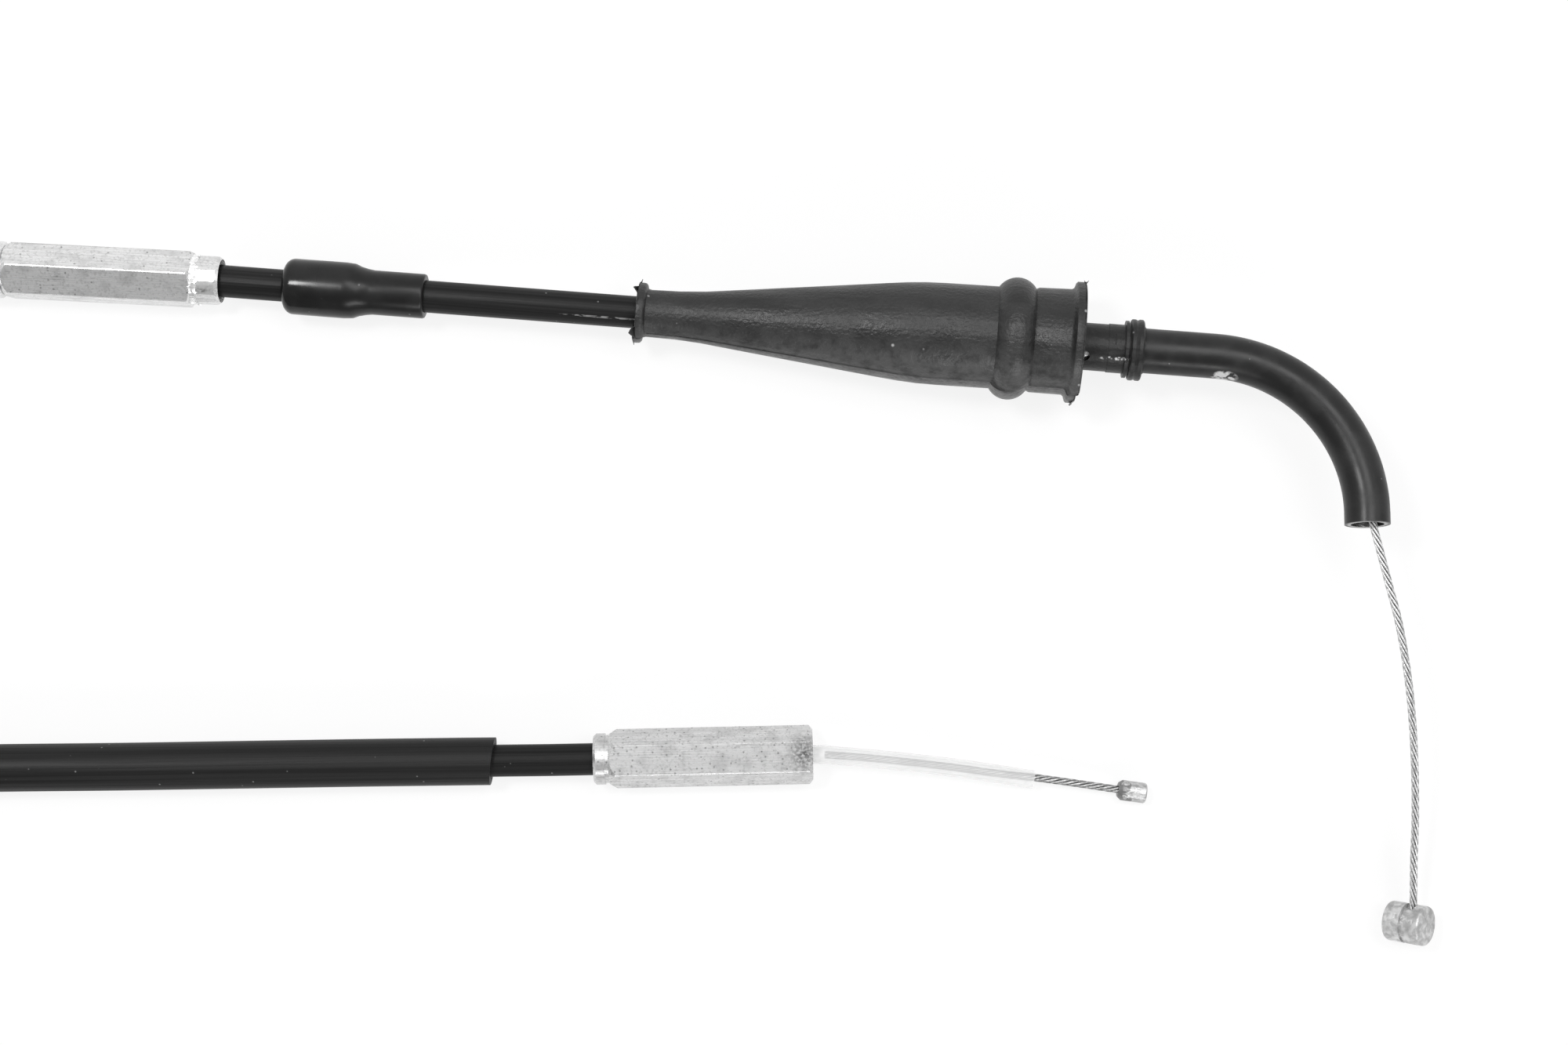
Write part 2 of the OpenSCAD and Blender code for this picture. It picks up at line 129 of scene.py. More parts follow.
world = bpy.data.worlds.new("pale_tent")
scene.world = world
world.use_nodes = True
tent_tree = world.node_tree
tent_tree.nodes.clear()
tent_rays = add(tent_tree, "LightPath").outputs
way = add(tent_tree, "SeparateXYZ", {0: add(tent_tree, "TexCoord").outputs["Generated"]})
wall = add(tent_tree, "MapRange", {
    "Value": way.outputs[1], "From Min": TENT_SPAN[0], "From Max": TENT_SPAN[1],
    "To Min": TENT_FRONT, "To Max": TENT_BACK})
mirrored = add_mix(tent_tree, tent_rays["Is Glossy Ray"], WORLD_LIGHT, wall.outputs[0])
clear = add_math(tent_tree, "MAXIMUM", tent_rays["Is Camera Ray"], tent_rays["Is Transmission Ray"])
tent_light = add_mix(tent_tree, clear, mirrored, 1.0)
tent = add(tent_tree, "Background", {"Color": (1, 1, 1, 1), "Strength": tent_light})
add(tent_tree, "OutputWorld", {"Surface": tent.outputs[0]})


def add_panel(name, place, width, height, watts):
    """A soft rectangular lamp, placed in millimetres and aimed at the origin."""
    lamp = bpy.data.lights.new(name, "AREA")
    lamp.shape = "RECTANGLE"
    lamp.size = width * MM
    lamp.size_y = height * MM
    lamp.energy = watts
    panel = show(name, lamp)
    panel.location = mm(*place)
    panel.rotation_euler = (-mm(*place)).to_track_quat("-Z", "Y").to_euler()


add_panel("left_panel", (-264, 195, 700), 160, 130, 2.2)
add_panel("back_panel", (245, 205, 690), 590, 230, 2.1)
add_panel("front_panel", (200, -560, 330), 480, 110, 1.4)
add_panel("right_panel", (640, 160, 560), 220, 220, 0.3)


# ---- Adjuster bolt and ferrules ----
# A plated steel bolt with a cup at its far end, which takes the conduit's first ferrule. Its
# M6 thread is what the adjuster sleeve and the lock nut turn on.
HEX_AF = 8.0
RIDGE_SPAN = (1.1425, 1.153)
RIDGE_FADE = 1.0
ADJUSTER_L = 33.6
THREAD_D = 6.0
THREAD_PITCH = 1.0
THREAD_STEPS = 28
NUT_L = 4.4
SPARE_THREAD_L = 7.9
CUP_D = 7.6
CUP_L = 19.0
CUP_BORE_L = 10.5
FERRULE_D = THREAD_D + 0.4
CORE_HOLE_D = 2.6
POCKET_X = -11.0
NUT_X = -ADJUSTER_L - 0.05 - NUT_L
CUP_X = NUT_X - SPARE_THREAD_L
BOLT_X = CUP_X - CUP_L
BOLT_TIP_X = POCKET_X - 1


class Line:
    """A straight stretch of the cable: where it starts, in millimetres, and how it is turned."""

    def __init__(self, origin, yaw, rise=0.0):
        self.origin = mm(*origin)
        self.turn = (0.0, math.radians(-rise), math.radians(yaw))
        turn_y = Matrix.Rotation(self.turn[1], 4, "Y")
        turn_z = Matrix.Rotation(self.turn[2], 4, "Z")
        self.matrix = Matrix.Translation(self.origin) @ turn_z @ turn_y

    def at(self, *point):
        """A point of the line's own frame, in millimetres, as a point of the model in metres."""
        return self.matrix @ mm(*point)


ADJUSTER_LINE = Line((-62, 47.7, 4.6), -2.93)


def grey(level):
    """The linear colour of a grey from 0 to 255 as it looks on a screen."""
    share = level / 255
    linear = share / 12.92 if share <= 0.04045 else ((share + 0.055) / 1.055) ** 2.4
    return (linear, linear, linear, 1)


def new_group(name, inputs, output):
    """An empty shader node group: its tree, its input sockets and its output node."""
    group = bpy.data.node_groups.new(name, "ShaderNodeTree")
    for label, (kind, value) in inputs.items():
        socket = group.interface.new_socket(label, in_out="INPUT", socket_type=f"NodeSocket{kind}")
        socket.default_value = value
    group.interface.new_socket(output, in_out="OUTPUT", socket_type="NodeSocketFloat")
    start = group.nodes.new("NodeGroupInput")
    return group, start.outputs, group.nodes.new("NodeGroupOutput")


def make_streaks():
    """Noise drawn out along X, from 0 below Low to 1 above High."""
    group, given, end = new_group("streaks", {
        "Vector": ("Vector", (0, 0, 0)), "Along": ("Float", 60.0), "Across": ("Float", 2500.0),
        "Low": ("Float", 0.4), "High": ("Float", 0.6)}, "Mask")
    pull = add(group, "CombineXYZ", {0: given["Along"], 1: given["Across"], 2: given["Across"]})
    place = add(group, "VectorMath", {0: given["Vector"], 1: pull.outputs[0]}, operation="MULTIPLY")
    cloud = add(group, "TexNoise", {"Vector": place.outputs[0], "Scale": 1.0, "Detail": 3.0})
    mask = add(group, "MapRange", {"Value": cloud.outputs[0], "From Min": given["Low"],
                                   "From Max": given["High"]})
    group.links.new(mask.outputs[0], end.inputs["Mask"])
    return group


def make_specks():
    """Small round specks, Scale to the metre, on a Share of the cells that hold one."""
    group, given, end = new_group("specks", {
        "Vector": ("Vector", (0, 0, 0)), "Scale": ("Float", 900.0), "Size": ("Float", 0.3),
        "Share": ("Float", 0.1)}, "Mask")
    cells = add(group, "TexVoronoi", {"Vector": given["Vector"], "Scale": given["Scale"]})
    luck = add(group, "SeparateColor", {"Color": cells.outputs["Color"]})
    chosen = add_math(group, "LESS_THAN", luck.outputs[0], given["Share"])
    near = add(group, "MapRange", {"Value": cells.outputs["Distance"], "From Min": given["Size"],
                                   "From Max": add_math(group, "MULTIPLY", given["Size"], 0.4)})
    group.links.new(add_math(group, "MULTIPLY", chosen, near.outputs[0]), end.inputs["Mask"])
    return group


STREAKS = make_streaks()
SPECKS = make_specks()


class Finish:
    """A material as it is mixed: its coordinates, its shader, and short ways to add to them."""

    def __init__(self, name, line=None, **shader):
        self.material = bpy.data.materials.new(name)
        self.material.use_nodes = True
        self.tree = self.material.node_tree
        self.shader = self.tree.nodes["Principled BSDF"]
        for socket, value in shader.items():
            self.shader.inputs[socket.replace("_", " ")].default_value = value
        if line == "straight":
            self.place = add(self.tree, "Attribute", attribute_name="straight").outputs["Vector"]
        else:
            self.place = add(self.tree, "TexCoord").outputs["Object"]
        if isinstance(line, Line):
            inputs = {"Vector": self.place, "Location": line.origin, "Rotation": line.turn}
            self.place = add(self.tree, "Mapping", inputs, vector_type="TEXTURE").outputs[0]

    def mask(self, group, **inputs):
        """The mask that one of the groups puts out here."""
        node = add(self.tree, "Group", node_tree=group)
        self.tree.links.new(self.place, node.inputs["Vector"])
        for name, value in inputs.items():
            node.inputs[name].default_value = value
        return node.outputs["Mask"]

    def cloud(self, scale, low, high, detail=4.0):
        """Even noise, from 0 below low to 1 above high."""
        inputs = {"Vector": self.place, "Scale": scale, "Detail": detail}
        return self.span(add(self.tree, "TexNoise", inputs).outputs[0], low, high)

    def span(self, value, low, high, to_low=0.0, to_high=1.0):
        """A value carried from one span to another, and held at its ends."""
        return add(self.tree, "MapRange", {"Value": value, "From Min": low, "From Max": high,
                                           "To Min": to_low, "To Max": to_high}).outputs[0]

    def mix(self, mask, below, above, share=1.0):
        """One colour where the mask is 0, and a share of the other where it is 1."""
        if share < 1:
            mask = self.math("MULTIPLY", mask, share)
        node = add(self.tree, "Mix", {0: mask, 6: below, 7: above}, data_type="RGBA")
        return node.outputs[2]

    def math(self, operation, a, b=0.0):
        """The sum, product or other result of two numbers or sockets."""
        return add_math(self.tree, operation, a, b)

    def along(self, direction):
        """How far a point lies from the line's start in a direction, in metres."""
        inputs = {0: self.place, 1: direction}
        return add(self.tree, "VectorMath", inputs, operation="DOT_PRODUCT").outputs["Value"]

    def out(self):
        """How far a point lies from the line's axis, in metres."""
        flat = add(self.tree, "VectorMath", {0: self.place, 1: (0, 1, 1)}, operation="MULTIPLY")
        far = add(self.tree, "VectorMath", {0: flat.outputs[0]}, operation="LENGTH")
        return far.outputs["Value"]

    def colour(self, socket):
        """Takes the surface's colour from a socket."""
        self.tree.links.new(socket, self.shader.inputs["Base Color"])

    def roughness(self, mask, low, high):
        """The roughness where the mask is 0 and where it is 1."""
        self.tree.links.new(self.span(mask, 0, 1, low, high), self.shader.inputs["Roughness"])

    def bump(self, height, depth):
        """Raises the surface where the height is 1, by depth in millimetres."""
        node = add(self.tree, "Bump", {"Height": height, "Distance": depth * MM})
        self.tree.links.new(node.outputs[0], self.shader.inputs["Normal"])

    def on(self, *pieces):
        """Puts the finish on these pieces, in place of what they had."""
        for piece in pieces:
            piece.data.materials.clear()
            piece.data.materials.append(self.material)


def plated(name, line, bright=226, dull=200, spots=0.12, ridge_polish_and_highlight=0.0, far_ridge_polish_and_highlight=1.0,
           stain=None):
    """Zinc-plated steel with fine lengthwise marks, dull patches and dark specks.

    The ridge setting, from 0 to 1, is how far the edges of a hexagon are rounded by wear and
    painted near-white as a highlight on them; the far-ridge setting is the share of that painted
    highlight on the far side. A stain is a mask that darkens the plating where it is 1.
    """
    finish = Finish(name, line, Metallic=0.85)
    brushed = finish.mask(STREAKS, Along=90, Across=5200, Low=0.34, High=0.66)
    patches = finish.cloud(420, 0.5, 0.64)
    dots = finish.mask(SPECKS, Scale=1500, Size=0.3, Share=spots)
    pits = finish.cloud(2600, 0.52, 0.66, 2)
    metal = finish.mix(brushed, grey(dull), grey(bright))
    metal = finish.mix(patches, metal, grey(dull - 30), 0.4)
    metal = finish.mix(pits, metal, grey(dull - 50), 0.4)
    metal = finish.mix(dots, metal, grey(96), 0.7)
    height = finish.math("MULTIPLY", brushed, 0.06)
    if stain:
        worn_off = finish.math("MULTIPLY", stain(finish), finish.cloud(2300, 0.36, 0.56))
        metal = finish.mix(worn_off, metal, grey(92))
    # Painted highlight: the worn ridges are painted near-white, fully on the near (-Y) side and by
    # the far share on the other.
    if ridge_polish_and_highlight:
        worn_from, worn_to = (HEX_AF / 2 * share * MM for share in RIDGE_SPAN)
        ridge_polish_and_highlight_mask = finish.span(finish.out(), worn_from, worn_to, 0, ridge_polish_and_highlight)
        side = finish.span(finish.along((0, 1, 0)), -RIDGE_FADE * MM, RIDGE_FADE * MM, 1,
                           far_ridge_polish_and_highlight)
        ridge_polish_and_highlight_mask = finish.math("MULTIPLY", ridge_polish_and_highlight_mask, side)
        metal = finish.mix(ridge_polish_and_highlight_mask, metal, grey(244))
        height = finish.math("SUBTRACT", height, ridge_polish_and_highlight_mask)
    finish.colour(metal)
    finish.roughness(brushed, 0.36, 0.22)
    finish.bump(height, 0.06 if ridge_polish_and_highlight else 0.2)
    return finish


def finish_piece(name, bm, line=None, sharp=35):
    """Closes a modelled piece: doubles merged, normals outwards, placed on its line, smooth."""
    bmesh.ops.remove_doubles(bm, verts=bm.verts, dist=0.0005 * MM)
    bmesh.ops.recalc_face_normals(bm, faces=bm.faces)
    if line:
        bmesh.ops.transform(bm, matrix=line.matrix, verts=bm.verts)
    for face in bm.faces:
        face.smooth = True
    data = bpy.data.meshes.new(name)
    bm.to_mesh(data)
    bm.free()
    data.set_sharp_from_angle(angle=math.radians(sharp))
    return show(name, data)


def spin_outline(bm, outline, steps, closed):
    """Turns an outline of (x, radius) points, in millimetres, a full turn about X."""
    ring = [bm.verts.new((x * MM, 0, radius * MM)) for x, radius in outline]
    pairs = list(zip(ring, ring[1:] + ring[:1])) if closed else list(zip(ring, ring[1:]))
    edges = [bm.edges.new(pair) for pair in pairs]
    bmesh.ops.spin(bm, geom=ring + edges, cent=(0, 0, 0), axis=(1, 0, 0), angle=2 * math.pi,
                   steps=steps, use_merge=True)


def add_thread(bm, start, end, major, pitch, depth):
    """A V thread wound about X between two places, in millimetres."""
    root = major / 2 - depth
    turns = int((end - start) / pitch) - 1
    points = [(start, root - 0.05), (start + pitch * 0.44, major / 2),
              (start + pitch * 0.56, major / 2), (start + pitch, root - 0.05)]
    profile = [bm.verts.new((x * MM, 0, r * MM)) for x, r in points]
    face = bm.faces.new(profile)
    bmesh.ops.spin(bm, geom=[face], cent=(0, 0, 0), axis=(1, 0, 0), angle=2 * math.pi * turns,
                   steps=THREAD_STEPS * turns, dvec=(pitch / THREAD_STEPS * MM, 0, 0))


thread_root = THREAD_D / 2 - 0.55
cup_bore = FERRULE_D / 2 - 0.1
bolt_mesh = bmesh.new()
spin_outline(bolt_mesh, [
    (BOLT_X + CUP_BORE_L, 0), (BOLT_X + CUP_BORE_L, cup_bore), (BOLT_X + 0.3, cup_bore),
    (BOLT_X, FERRULE_D / 2 + 0.1), (BOLT_X, CUP_D / 2 - 0.4), (BOLT_X + 0.4, CUP_D / 2),
    (CUP_X - 0.8, CUP_D / 2), (CUP_X - 0.1, THREAD_D / 2), (CUP_X + 0.5, thread_root),
    (BOLT_TIP_X - 0.4, thread_root), (BOLT_TIP_X, thread_root - 0.4),
    (BOLT_TIP_X, CORE_HOLE_D / 2), (BOLT_TIP_X - 1.5, CORE_HOLE_D / 2), (BOLT_TIP_X - 1.5, 0)],
    steps=64, closed=False)
add_thread(bolt_mesh, CUP_X + 0.4, BOLT_TIP_X - 0.2, THREAD_D - 0.1, THREAD_PITCH, 0.5)
threaded_bolt = finish_piece("threaded_bolt", bolt_mesh, ADJUSTER_LINE)
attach(threaded_bolt, "lower_run")
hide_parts("adjuster_bolt")
bolt_plating = plated("bolt_plating", ADJUSTER_LINE)
bolt_plating.on(threaded_bolt, nodes["adjuster_ferrule"], nodes["lead_ferrule"])


# ---- Lock nut ----
# An M6 plated steel nut with its corners turned off, run up against the adjuster sleeve. It locks
# the sleeve on the bolt. Spanners have polished its ridges, which carry a painted near-white
# highlight.
nut_plating = plated("nut_plating", ADJUSTER_LINE, bright=242, dull=218, ridge_polish_and_highlight=1.0)
nut_plating.on(nodes["lock_nut"])


# ---- Adjuster sleeve ----
# A hexagon sleeve tapped M6, with a thin collar crimped over the conduit's ferrule. Staking the
# collar tore up a ragged silver band where it meets the hexagon.
COLLAR_MARK = {"Centre": mm(-2.35, -1.9, 3.3), "Reach": mm(1.15, 0.42, 1.2)}
SCRATCHED = {"Centre": mm(-26.5, -2.2, 3.4), "Reach": mm(4.4, 2.4, 2.6)}


def make_spot():
    """A soft spot of one place on a piece: 1 at Centre, 0 past Reach, which is a half-width."""
    group, given, end = new_group("spot", {
        "Vector": ("Vector", (0, 0, 0)), "Centre": ("Vector", (0, 0, 0)),
        "Reach": ("Vector", (0.001, 0.001, 0.001))}, "Mask")
    off = add(group, "VectorMath", {0: given["Vector"], 1: given["Centre"]}, operation="SUBTRACT")
    share = add(group, "VectorMath", {0: off.outputs[0], 1: given["Reach"]}, operation="DIVIDE")
    far = add(group, "VectorMath", {0: share.outputs[0]}, operation="LENGTH")
    mask = add(group, "MapRange", {"Value": far.outputs["Value"], "From Min": 1.0, "From Max": 0.0})
    group.links.new(mask.outputs[0], end.inputs["Mask"])
    return group


SPOT = make_spot()


def adjuster_marks(finish):
    """The nick in the collar, and lengthwise scratches from a spanner near the nut."""
    lines = finish.mask(STREAKS, Along=170, Across=3600, Low=0.55, High=0.62)
    scratches = finish.math("MULTIPLY", finish.mask(SPOT, **SCRATCHED), lines)
    return finish.math("MAXIMUM", finish.mask(SPOT, **COLLAR_MARK), scratches)


# Its worn ridges carry a painted near-white highlight.
adjuster_plating = plated("adjuster_plating", ADJUSTER_LINE, bright=236, dull=210, ridge_polish_and_highlight=1.0,
                          stain=adjuster_marks)
adjuster_plating.on(nodes["adjuster_sleeve"])

BAND_X = (-4.9, -3.3)
BAND_SINK = 0.04
TEAR = 0.14
TEAR_ALONG = 0.4
CHIP = 0.1
CHIP_ALONG = 0.12


def off_axis(vert):
    """The way from the X axis out to a vertex."""
    return Vector((0, vert.co.y, vert.co.z))


band_mesh = bmesh.new()
spin_outline(band_mesh, [(BAND_X[0], 3.5), (BAND_X[0] + 0.15, 3.95), (-4.5, 4.02), (-4.1, 3.9),
                         (-3.7, 3.98), (BAND_X[1] - 0.1, 3.86), (BAND_X[1], 3.5)],
             steps=120, closed=True)
for vert in band_mesh.verts:
    tear = noise.fractal(vert.co * 1300, 0.7, 2.1, 4)
    chip = noise.fractal(vert.co * 3400, 0.6, 2.0, 2)
    vert.co += off_axis(vert).normalized() * (TEAR * tear + CHIP * chip - BAND_SINK) * MM
    vert.co.x += (TEAR_ALONG * tear + CHIP_ALONG * chip) * MM
staked_band = finish_piece("staked_band", band_mesh, ADJUSTER_LINE, sharp=20)
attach(staked_band, "adjuster")
torn_metal = plated("torn_metal", ADJUSTER_LINE, bright=255, dull=248, spots=0.05)
torn_metal.on(staked_band)


# ---- Free conduit ----
# A steel-wound conduit with a black plastic jacket, which runs unbroken from the adjuster bolt
# through the coil to the end sleeve. All but its two ends lies inside the over-sleeve.
CONDUIT_D = 5.0
OVER_D = 7.4
END_LINE = Line((-4.1, -26.8, 4), 1.25)
COIL_C = (-164.5, 4.1)
COIL_Z = 4.8
COIL_R = 48.0
COIL_STEPS = 40
RISE_FROM = 200
EXIT_Z = 7.3
EXIT_Y = COIL_C[1] - (COIL_R - 2 * OVER_D)
LEAD_ROUTE = [ADJUSTER_LINE.at(BOLT_X + 8, 0, 0), ADJUSTER_LINE.at(BOLT_X + 1, 0, 0),
              ADJUSTER_LINE.at(BOLT_X - 2, 0, 0), mm(-133, 51.35, 4.7)]
SLEEVE_IN_ROUTE = [mm(-135.5, 51.5, 4.8), mm(-146, 52, 4.8), mm(-156, 52.1, 4.8)]
SLEEVE_OUT_ROUTE = [mm(*point) for point in [
    (-156.5, -29.1, 9.8), (-148.5, -29, 12.1), (-139.5, -28.9, 12.5), (-130.5, -28.7, 12.2),
    (-121.5, -28.6, 9.8), (-112.5, -28.5, 6.5), (-104.5, -28.3, 4.4), (-96.5, -28.2, 3.7),
    (-78, -28, 3.7), (-59, -27.7, 3.7), (-40, -27.4, 3.7), (-21, -27.15, 3.7)]]
TAIL_ROUTE = [mm(-18, -27.05, 3.75), mm(-11, -26.95, 3.9), END_LINE.at(-1, 0, 0),
              END_LINE.at(4, 0, 0), END_LINE.at(10, 0, 0)]


def half_turn(radius, centre_y, start, rise_from=None):
    """Half a turn of the coil from the start angle, lifting to the exit's height at its end."""
    points = []
    for step in range(COIL_STEPS // 2):
        angle = start + 180 * step / (COIL_STEPS // 2)
        lift = 0.0
        if rise_from is not None and angle > rise_from:
            lift = (EXIT_Z - COIL_Z) * ((angle - rise_from) / (start + 180 - rise_from)) ** 2
        turn = math.radians(angle)
        points.append(mm(COIL_C[0] + radius * math.cos(turn), centre_y + radius * math.sin(turn),
                         COIL_Z + lift))
    return points


coil_route = []
for turn in range(2):
    outer = COIL_R - turn * OVER_D
    coil_route += half_turn(outer, COIL_C[1], 90)
    coil_route += half_turn(outer - OVER_D / 2, COIL_C[1] - OVER_D / 2, 270)
coil_route += half_turn(COIL_R - 2 * OVER_D, COIL_C[1], 90, RISE_FROM)
coil_route.append(mm(COIL_C[0], EXIT_Y, EXIT_Z))


def smooth_line(route, step):
    """Points about a step apart, in metres, on a smooth curve through the route's points."""
    ends = [2 * route[0] - route[1]] + list(route) + [2 * route[-1] - route[-2]]
    line = []
    for before, here, there, after in zip(ends, ends[1:], ends[2:], ends[3:]):
        gap = (there - here).length
        slope_in = (there - before).normalized() * gap
        slope_out = (after - here).normalized() * gap
        count = max(1, round(gap / step))
        for part in range(count):
            t = part / count
            line.append(here * (2 * t**3 - 3 * t**2 + 1) + slope_in * (t**3 - 2 * t**2 + t)
                        + there * (3 * t**2 - 2 * t**3) + slope_out * (t**3 - t**2))
    return line + [route[-1]]


def placings(line):
    """A matrix for each point of a line, with X along it and no twist between neighbours."""
    turn = Vector((1, 0, 0)).rotation_difference(line[1] - line[0])
    found = []
    for index, point in enumerate(line):
        ahead = line[min(index + 1, len(line) - 1)] - line[max(index - 1, 0)]
        turn = (turn @ Vector((1, 0, 0))).rotation_difference(ahead) @ turn
        found.append(Matrix.Translation(point) @ turn.to_matrix().to_4x4())
    return found


def add_circle(bm, radius, sides):
    """A circle about X, in millimetres."""
    made = bmesh.ops.create_circle(bm, segments=sides, radius=radius * MM,
                                   matrix=Matrix.Rotation(math.pi / 2, 4, "Y"))
    return made["verts"]


def match_extruded(old, fresh):
    """The new vertices in the old ones' order."""
    new = set(fresh)
    return [next(e.other_vert(v) for e in v.link_edges if e.other_vert(v) in new) for v in old]


def run_along(bm, line, lay=None):
    """Carries the drawn section along a line, turning once per lay (mm) if one is given.

    Each point keeps its place on the straightened cable in the attribute "straight". The edges
    of the last section are handed back.
    """
    straight = bm.verts.layers.float_vector.new("straight")
    verts = list(bm.verts)
    edges = list(bm.edges)
    section = [v.co.copy() for v in verts]
    travelled = 0.0
    for index, matrix in enumerate(placings(line)):
        if index:
            travelled += (line[index] - line[index - 1]).length
            made = bmesh.ops.extrude_edge_only(bm, edges=edges)["geom"]
            edges = [e for e in made if isinstance(e, bmesh.types.BMEdge)]
            verts = match_extruded(verts, [v for v in made if isinstance(v, bmesh.types.BMVert)])
        twist = Matrix.Rotation(-2 * math.pi * travelled / (lay * MM), 4, "X") if lay else Matrix()
        for vert, place in zip(verts, section):
            vert.co = matrix @ twist @ place
            vert[straight] = (travelled, place.y, place.z)
    return edges


def cable(name, line, radius, sides, bore=None):
    """A round cable along a line, solid, or hollow if it has a bore radius in millimetres."""
    bm = bmesh.new()
    add_circle(bm, radius, sides)
    if bore:
        add_circle(bm, bore, sides)
    first = list(bm.edges)
    last = run_along(bm, line)
    for ring in (first, last):
        if bore:
            bmesh.ops.bridge_loops(bm, edges=ring)
        else:
            bmesh.ops.contextual_create(bm, geom=ring)
    return finish_piece(name, bm)


sleeve_line = smooth_line(SLEEVE_IN_ROUTE + coil_route + SLEEVE_OUT_ROUTE, 3 * MM)
conduit_line = smooth_line(LEAD_ROUTE + SLEEVE_IN_ROUTE[1:] + coil_route + SLEEVE_OUT_ROUTE[:-1]
                           + TAIL_ROUTE, 4 * MM)
conduit = cable("conduit", conduit_line, CONDUIT_D / 2, sides=36)
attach(conduit, "lower_run")
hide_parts("conduit_lead", "conduit_tail")


def jacket(name, line, dark, light, rough, gloss, highlight_line=None):
    """Extruded black plastic: fine lengthwise lines, a little dust, and maybe a painted highlight
    line.
    """
    finish = Finish(name, line, Specular_IOR_Level=gloss)
    lines = finish.mask(STREAKS, Along=14, Across=2600, Low=0.4, High=0.62)
    dust = finish.mask(SPECKS, Scale=1100, Size=0.2, Share=0.05)
    skin = finish.mix(lines, grey(dark), grey(light))
    skin = finish.mix(dust, skin, grey(150), 0.5)
    # Painted highlight: a pale broken line where the front lamp would catch the jacket.
    if highlight_line:
        painted_highlight_line = finish.mask(STREAKS, Along=900, Across=2600, Low=0.44, High=0.56)
        painted_highlight_line = finish.math("MULTIPLY", painted_highlight_line, finish.span(finish.mask(SPOT, **highlight_line), 0, 0.35))
        skin = finish.mix(painted_highlight_line, skin, grey(128))
    finish.colour(skin)
    finish.roughness(lines, rough, rough + 0.1)
    finish.bump(lines, 0.02)
    return finish


conduit_jacket = jacket("conduit_jacket", "straight", 20, 31, 0.42, 0.13)
conduit_jacket.on(conduit)


# ---- Over-sleeve and ties ----
# A loose satin black PVC sleeve, drawn over the conduit and cut off short of the end sleeve. The
# spare length lies in a flat coil, held by two nylon ties.
SLEEVE_BORE = 2.65
SLEEVE_SPARE = 0.02
CUT_SLANT = 0.12
CUT_SPARE = 1.1
CUT_REACH = OVER_D / 2 * 1.1
over_sleeve = cable("over_sleeve", sleeve_line, OVER_D / 2 + SLEEVE_SPARE, sides=44,
                    bore=SLEEVE_BORE)
cut_face = sleeve_line[-1]
for vert in over_sleeve.data.vertices:
    if (vert.co - cut_face).length < CUT_REACH * MM:
        vert.co.x += CUT_SLANT * (vert.co.y - cut_face.y) + CUT_SPARE * MM
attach(over_sleeve, "lower_run")
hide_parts("sleeve_in", "cable_coil", "sleeve_out")
sleeve_skin = jacket("sleeve_skin", "straight", 24, 34, 0.42, 0.17)
sleeve_skin.on(over_sleeve)

TIE_W = 3.6
TIE_T = 0.7
TIE_ANGLES = (155, 196)
TIE_HEAD = (6.2, 5.4, 3.2)
TIE_HEAD_SHIFT = 4
TIE_HEAD_LIFT = 0.9
TIE_TAIL = (3.4, TIE_W, 1.1)
TIE_TAIL_SHIFT = 8.6
TIE_TAIL_LIFT = 1.1


def coil_tie(name, angle):
    """A nylon strap pulled tight round the coil's three turns, with its ratchet head on top."""
    inner = COIL_R - 2.5 * OVER_D - TIE_T
    outer = COIL_R + OVER_D / 2 + TIE_T
    half_z = OVER_D / 2 + TIE_T
    bm = bmesh.new()
    corners = [(inner, -half_z), (outer, -half_z), (outer, half_z), (inner, half_z)]
    face = bm.faces.new([bm.verts.new((r * MM, -TIE_W / 2 * MM, z * MM)) for r, z in corners])
    bmesh.ops.bevel(bm, geom=list(bm.verts), offset=(OVER_D / 2) * MM, segments=8, profile=0.5,
                    affect="VERTICES", material=-1)
    rim = bmesh.ops.inset_region(bm, faces=list(bm.faces), thickness=TIE_T * MM,
                                 use_boundary=True)["faces"]
    hole = [f for f in bm.faces if f not in rim]
    bmesh.ops.delete(bm, geom=hole, context="FACES")
    made = bmesh.ops.extrude_face_region(bm, geom=list(bm.faces))["geom"]
    moved = [v for v in made if isinstance(v, bmesh.types.BMVert)]
    bmesh.ops.translate(bm, vec=(0, TIE_W * MM, 0), verts=moved)
    middle = (inner + outer) / 2
    head_place = Matrix.Translation(mm(middle + TIE_HEAD_SHIFT, 0, half_z + TIE_HEAD_LIFT))
    head_size = Matrix.Diagonal((*mm(*TIE_HEAD), 1))
    head = bmesh.ops.create_cube(bm, size=1.0, matrix=head_place @ head_size)["verts"]
    head_edges = list({e for v in head for e in v.link_edges})
    bmesh.ops.bevel(bm, geom=head_edges, offset=0.6 * MM, segments=3, profile=0.5,
                    affect="EDGES", material=-1)
    tail_place = Matrix.Translation(mm(middle + TIE_TAIL_SHIFT, 0, half_z + TIE_TAIL_LIFT))
    tail_size = Matrix.Diagonal((*mm(*TIE_TAIL), 1))
    bmesh.ops.create_cube(bm, size=1.0, matrix=tail_place @ tail_size)
    place = Matrix.Translation(mm(*COIL_C, COIL_Z)) @ Matrix.Rotation(math.radians(angle), 4, "Z")
    bmesh.ops.transform(bm, matrix=place, verts=bm.verts)
    return finish_piece(name, bm)


